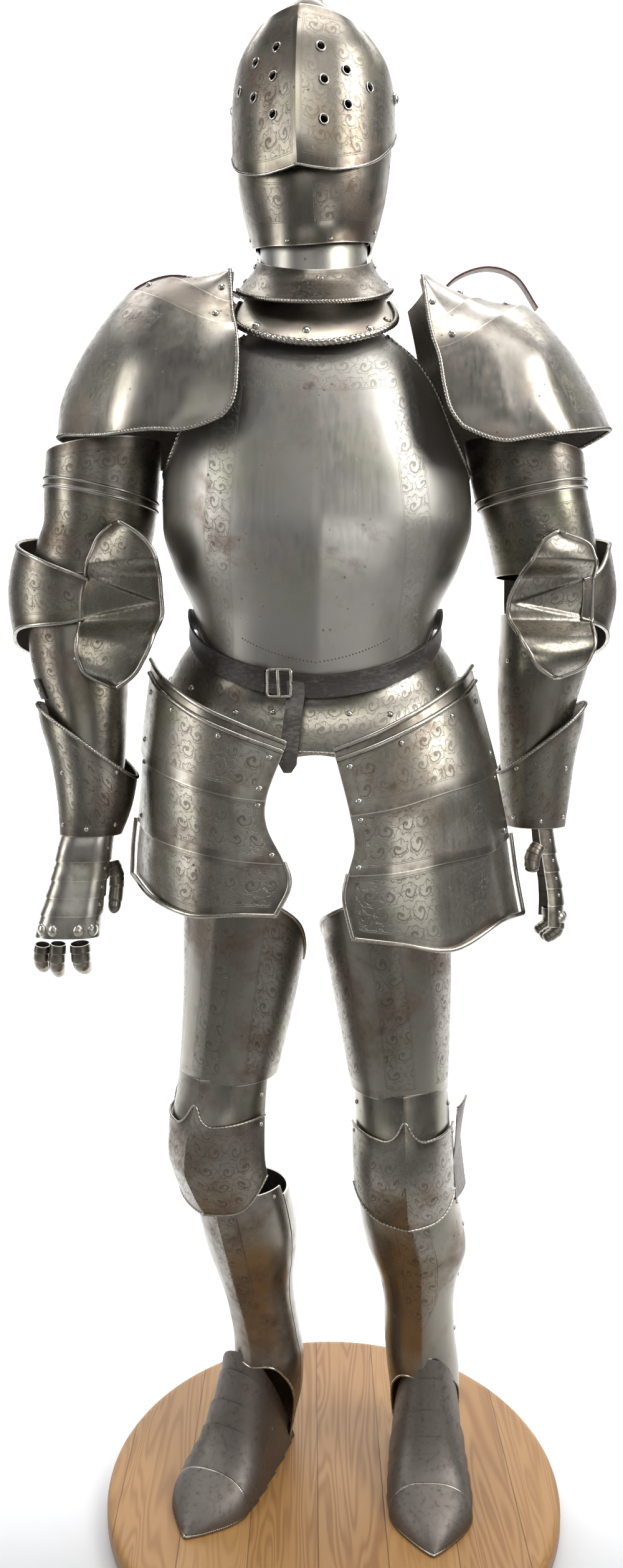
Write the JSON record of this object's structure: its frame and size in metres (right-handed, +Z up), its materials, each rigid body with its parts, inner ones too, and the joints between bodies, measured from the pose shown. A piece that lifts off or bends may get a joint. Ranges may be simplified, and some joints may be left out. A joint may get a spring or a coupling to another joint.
{
  "type": "suit of plate armour on a round wooden base",
  "caption": "Standing suit of plate armour, head to foot, with a closed helmet, pauldrons, tassets, gauntlets and sabatons, on a round wooden base.",
  "frame": {"origin": "centre of the round base, at its underside", "axes": "+Z up, -Y to the front of the suit, +X to the wearer left"},
  "size_m": [0.7601, 0.6, 1.881],
  "materials": {
    "steel": "old polished steel with brown patina and faint etched scrolls",
    "dark_steel": "browned steel",
    "wood": "varnished pine boards",
    "leather": "worn dark leather"
  },
  "bodies": {
    "suit": {"base": "wood", "belt": "leather", "buckle": "dark_steel", "gorget_plate": "dark_steel", "gorget_collar": "dark_steel", "breastplate": "steel", "backplate": "steel", "fauld": "steel", "neck_band": "steel", "helmet_skull": "steel", "bevor": "steel", "toe_cap_R": "dark_steel", "instep_R": "dark_steel", "greave_front_R": "steel", "greave_back_R": "steel", "cuisse_R": "steel", "knee_lame_R": "steel", "poleyn_R": "steel", "pauldron_upper_R": "steel", "pauldron_lame_R": "steel", "pauldron_main_R": "steel", "rerebrace_upper_R": "steel", "rerebrace_lower_R": "steel", "couter_R": "steel", "vambrace_R": "steel", "cuff_R": "steel", "hand_plate_R": "steel", "finger_1_R": "steel", "finger_2_R": "steel", "finger_3_R": "steel", "thumb_R": "steel", "toe_cap_L": "dark_steel", "instep_L": "dark_steel", "greave_front_L": "steel", "greave_back_L": "steel", "cuisse_L": "steel", "knee_lame_L": "steel", "poleyn_L": "steel", "pauldron_upper_L": "steel", "pauldron_lame_L": "steel", "pauldron_main_L": "steel", "rerebrace_upper_L": "steel", "rerebrace_lower_L": "steel", "couter_L": "steel", "vambrace_L": "steel", "cuff_L": "steel", "hand_plate_L": "steel", "finger_1_L": "steel", "finger_2_L": "steel", "finger_3_L": "steel", "thumb_L": "steel"},
    "visor": {"visor": "steel"},
    "tassets_R": {"tasset_upper_R": "steel", "tasset_middle_R": "steel", "tasset_lower_R": "steel"},
    "tassets_L": {"tasset_upper_L": "steel", "tasset_middle_L": "steel", "tasset_lower_L": "steel"}
  },
  "joints": [
    {"name": "visor_pivot", "type": "hinge", "parent": "suit", "child": "visor", "pos_m": [-0.026, 0.002, 1.772], "axis": [-0.9877, 0.1564, 0], "range_deg": [0, 55]},
    {"name": "tassets_R_hinge", "type": "hinge", "parent": "suit", "child": "tassets_R", "pos_m": [-0.14, -0.1, 1.08], "axis": [-1, 0, 0], "range_deg": [0, 30]},
    {"name": "tassets_L_hinge", "type": "hinge", "parent": "suit", "child": "tassets_L", "pos_m": [0.09, -0.1, 1.075], "axis": [-1, 0, 0], "range_deg": [0, 30]}
  ]
}
